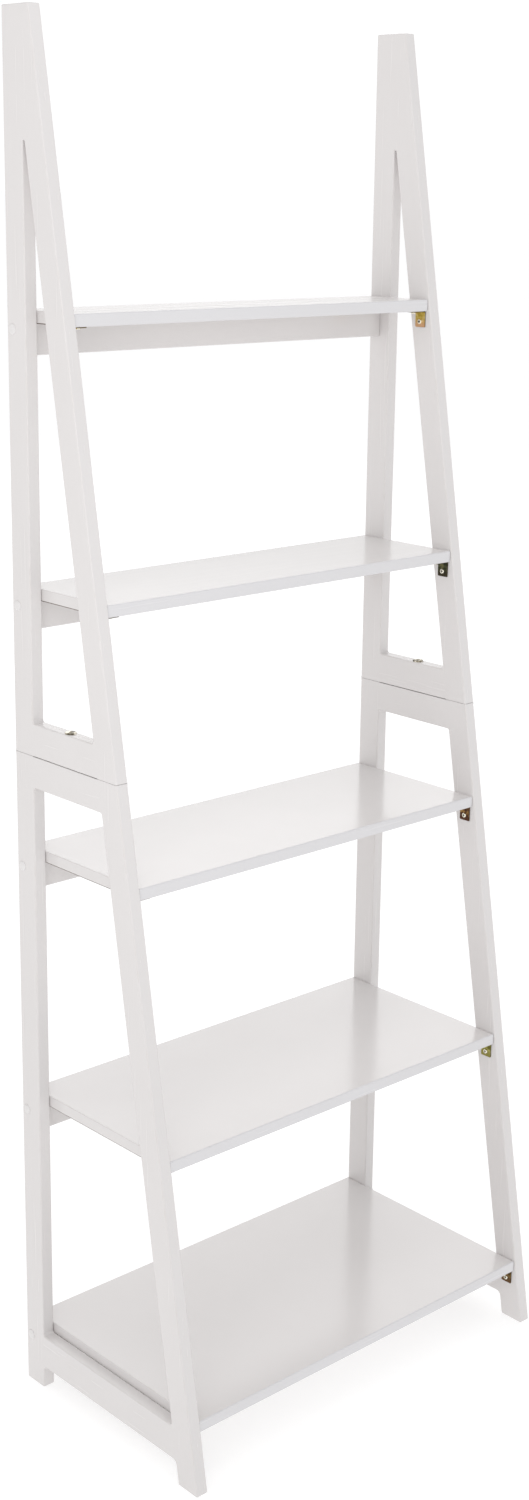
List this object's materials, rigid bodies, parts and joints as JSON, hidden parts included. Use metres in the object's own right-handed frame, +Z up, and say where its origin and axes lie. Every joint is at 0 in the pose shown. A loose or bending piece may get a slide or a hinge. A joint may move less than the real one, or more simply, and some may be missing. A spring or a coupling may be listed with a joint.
{
  "type": "ladder shelf",
  "caption": "Tall narrow ladder shelf: boards that get deeper towards the floor, held between two A-shaped side frames made of upright rear stiles, leaning front stiles and cross rails.",
  "frame": {"origin": "on the floor, in the middle of the width and of the depth", "axes": "+X to the shelf's right as seen from the front, +Y to the rear, +Z up"},
  "size_m": [0.6516, 0.3676, 1.829],
  "materials": {
    "painted_wood": "white satin paint",
    "yellow_zinc": "yellow zinc plate",
    "steel": "bright zinc plate",
    "cap_plastic": "white moulded plastic"
  },
  "bodies": {
    "root": {"left_upper_rear_stile": "painted_wood", "left_upper_front_stile": "painted_wood", "left_upper_bottom_rail": "painted_wood", "left_lower_rear_stile": "painted_wood", "left_lower_front_stile": "painted_wood", "left_lower_top_rail": "painted_wood", "left_lower_bottom_rail": "painted_wood", "right_upper_rear_stile": "painted_wood", "right_upper_front_stile": "painted_wood", "right_upper_bottom_rail": "painted_wood", "right_lower_rear_stile": "painted_wood", "right_lower_front_stile": "painted_wood", "right_lower_top_rail": "painted_wood", "right_lower_bottom_rail": "painted_wood", "shelf_board_1": "painted_wood", "rear_rail_1": "painted_wood", "shelf_board_2": "painted_wood", "rear_rail_2": "painted_wood", "shelf_board_3": "painted_wood", "rear_rail_3": "painted_wood", "shelf_board_4": "painted_wood", "rear_rail_4": "painted_wood", "shelf_board_5": "painted_wood", "rear_rail_5": "painted_wood", "left_angle_1": "yellow_zinc", "left_rail_bolt_1": "steel", "left_bolt_cap_1": "cap_plastic", "left_angle_2": "yellow_zinc", "left_rail_bolt_2": "steel", "left_bolt_cap_2": "cap_plastic", "left_angle_3": "yellow_zinc", "left_rail_bolt_3": "steel", "left_bolt_cap_3": "cap_plastic", "left_angle_4": "yellow_zinc", "left_rail_bolt_4": "steel", "left_bolt_cap_4": "cap_plastic", "left_angle_5": "yellow_zinc", "left_rail_bolt_5": "steel", "left_bolt_cap_5": "cap_plastic", "left_seam_bolt": "yellow_zinc", "left_seam_nut": "yellow_zinc", "right_angle_1": "yellow_zinc", "right_rail_bolt_1": "steel", "right_bolt_cap_1": "cap_plastic", "right_angle_2": "yellow_zinc", "right_rail_bolt_2": "steel", "right_bolt_cap_2": "cap_plastic", "right_angle_3": "yellow_zinc", "right_rail_bolt_3": "steel", "right_bolt_cap_3": "cap_plastic", "right_angle_4": "yellow_zinc", "right_rail_bolt_4": "steel", "right_bolt_cap_4": "cap_plastic", "right_angle_5": "yellow_zinc", "right_rail_bolt_5": "steel", "right_bolt_cap_5": "cap_plastic", "right_seam_bolt": "yellow_zinc", "right_seam_nut": "yellow_zinc"}
  },
  "joints": []
}
